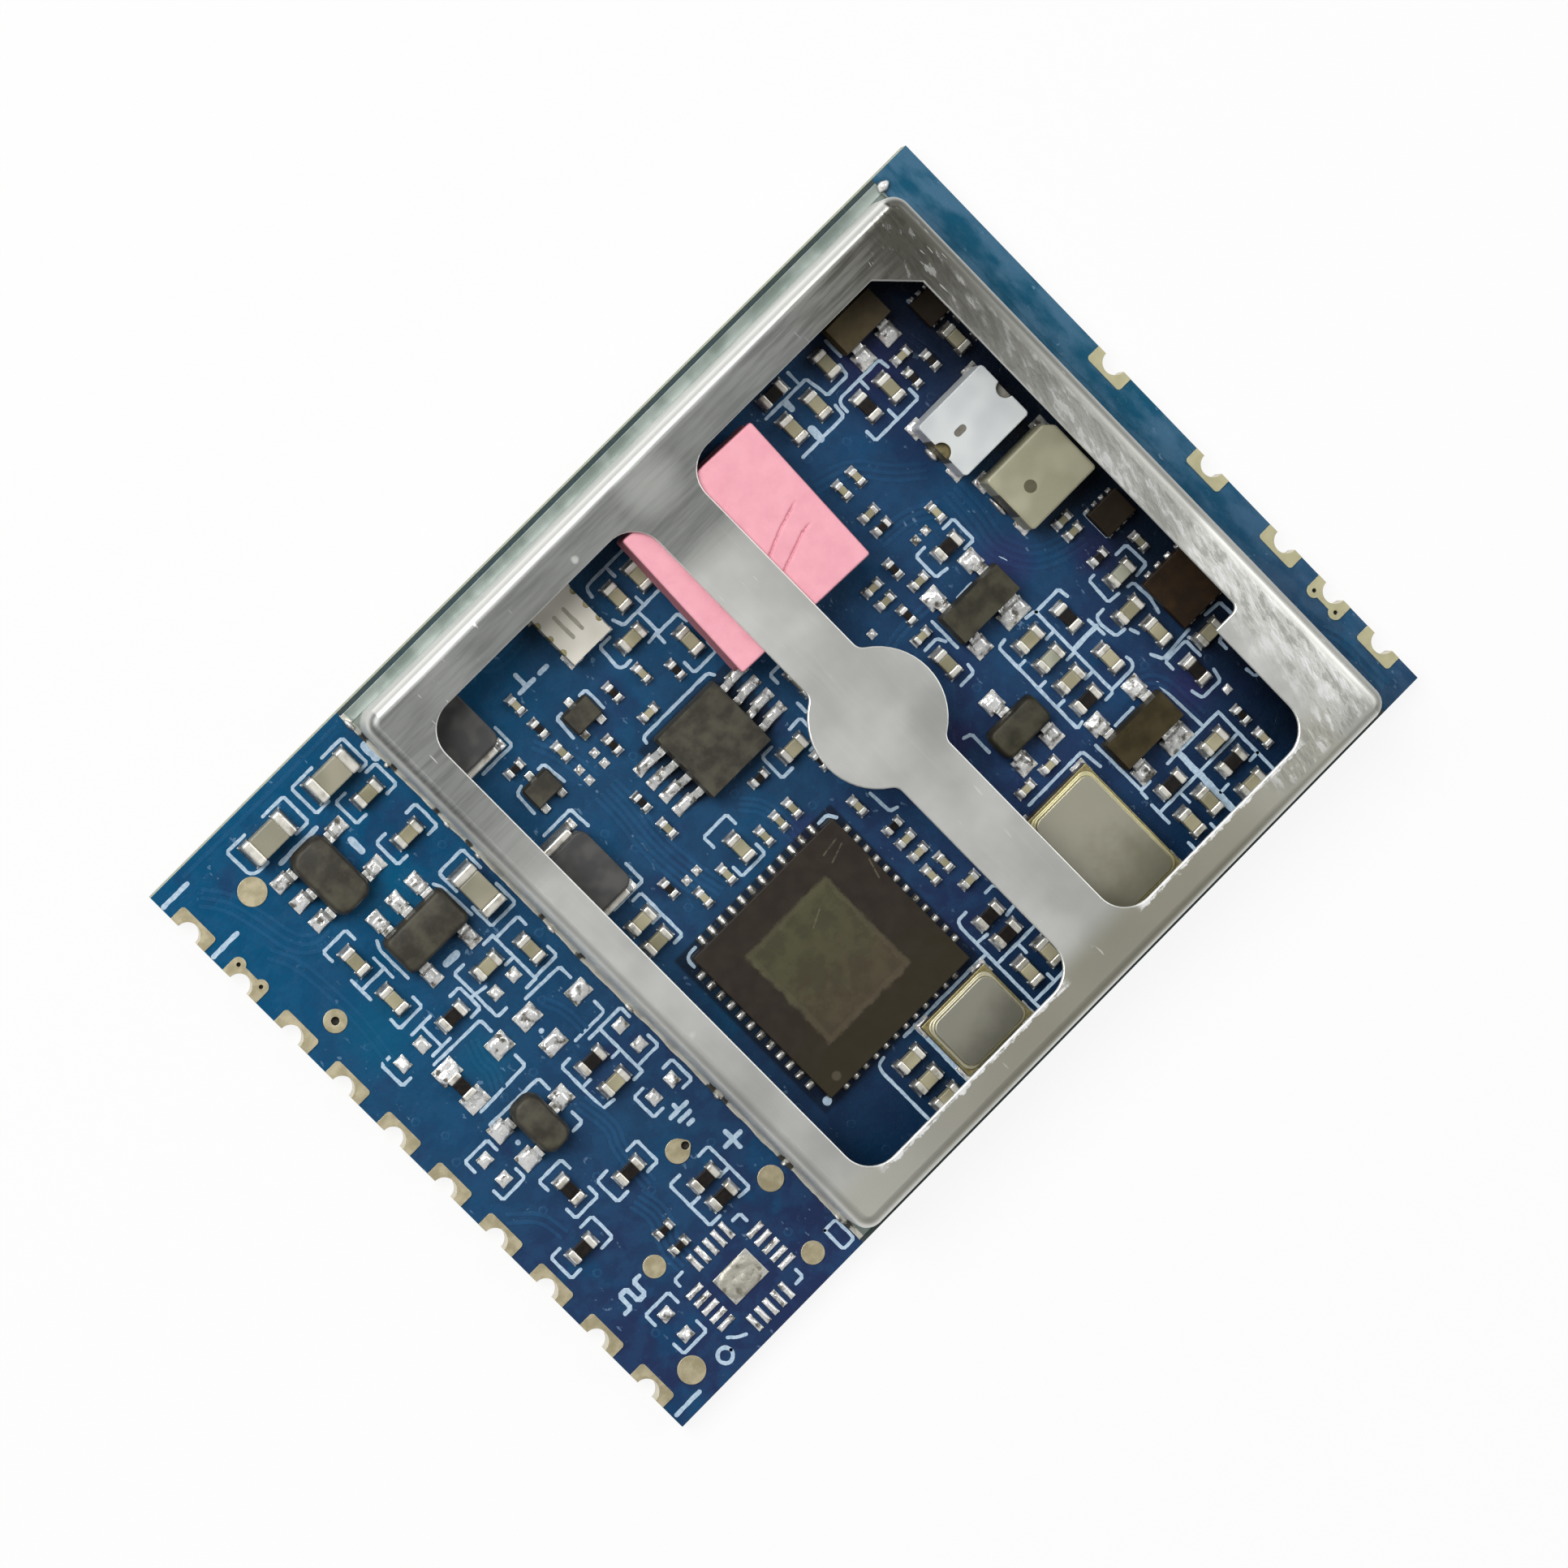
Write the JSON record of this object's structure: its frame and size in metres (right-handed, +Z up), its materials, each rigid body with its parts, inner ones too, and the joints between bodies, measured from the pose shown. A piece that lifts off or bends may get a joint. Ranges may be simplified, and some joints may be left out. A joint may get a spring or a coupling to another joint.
{
  "type": "video receiver module",
  "caption": "Small blue circuit module for receiving video by radio: an open two-window metal shield frame over surface-mounted chips, a pink thermal pad and plated edge contacts.",
  "frame": {"origin": "middle of the board's underside", "axes": "+X along the board towards the edge behind the shield, +Z up out of the parts side"},
  "size_m": [0.0376, 0.0264, 0.0041],
  "materials": {
    "board_mask": "glossy blue solder mask over glass-epoxy board",
    "gold": "matte immersion gold",
    "tin": "bright tinned copper and solder",
    "shield_sheet": "matte tin-plated sheet with faint brushing",
    "thermal_silicone": "soft matte pink silicone",
    "chip_mould": "dark moulded epoxy",
    "brown_mould": "brown moulded epoxy",
    "lead_metal": "tinned leads",
    "white_ceramic": "smooth white ceramic",
    "grey_ceramic": "matte grey-beige ceramic",
    "base_ceramic": "dark ceramic",
    "lid_metal": "satin plated lid",
    "ferrite": "grey ferrite compound",
    "capacitor_ceramic": "smooth beige ceramic",
    "resistor_glaze": "black glaze on ceramic",
    "inductor_ceramic": "green-grey ceramic"
  },
  "bodies": {
    "root": {"circuit_board": "board_mask", "front_contacts": "gold", "rear_contacts": "gold", "test_pads": "gold", "ground_strip": "tin", "strip_lands": "tin", "shielded_lands": "tin", "shield_frame": "shield_sheet", "thermal_pad": "thermal_silicone", "tuner_chip": "chip_mould", "tuner_contacts": "tin", "decoder_chip": "chip_mould", "decoder_contacts": "tin", "video_amp": "chip_mould", "video_amp_leads": "lead_metal", "regulator_upper": "chip_mould", "regulator_upper_leads": "lead_metal", "regulator_lower": "chip_mould", "regulator_lower_leads": "lead_metal", "strip_transistor": "chip_mould", "strip_transistor_leads": "lead_metal", "first_radio_amp": "chip_mould", "first_radio_amp_leads": "lead_metal", "second_radio_amp": "brown_mould", "second_radio_amp_leads": "lead_metal", "switch_transistor": "chip_mould", "switch_transistor_leads": "lead_metal", "corner_transistor": "brown_mould", "corner_transistor_leads": "lead_metal", "detector_chips": "chip_mould", "detector_leads": "lead_metal", "antenna_switch": "chip_mould", "mixer_chip": "chip_mould", "divider_chip": "brown_mould", "band_filter_upper": "white_ceramic", "band_filter_lower": "grey_ceramic", "oscillator_base": "base_ceramic", "oscillator_lid": "lid_metal", "crystal_base": "base_ceramic", "crystal_lid": "lid_metal", "balun": "grey_ceramic", "power_inductors": "ferrite", "power_inductor_caps": "tin", "bulk_capacitors": "capacitor_ceramic", "bulk_capacitor_caps": "tin", "strip_capacitors": "capacitor_ceramic", "strip_capacitor_caps": "tin", "shielded_capacitors": "capacitor_ceramic", "shielded_capacitor_caps": "tin", "strip_resistors": "resistor_glaze", "strip_resistor_caps": "tin", "shielded_resistors": "resistor_glaze", "shielded_resistor_caps": "tin", "small_capacitors": "capacitor_ceramic", "small_capacitor_caps": "tin", "small_resistors": "resistor_glaze", "small_resistor_caps": "tin", "chip_inductors": "inductor_ceramic", "chip_inductor_caps": "tin"}
  },
  "joints": []
}
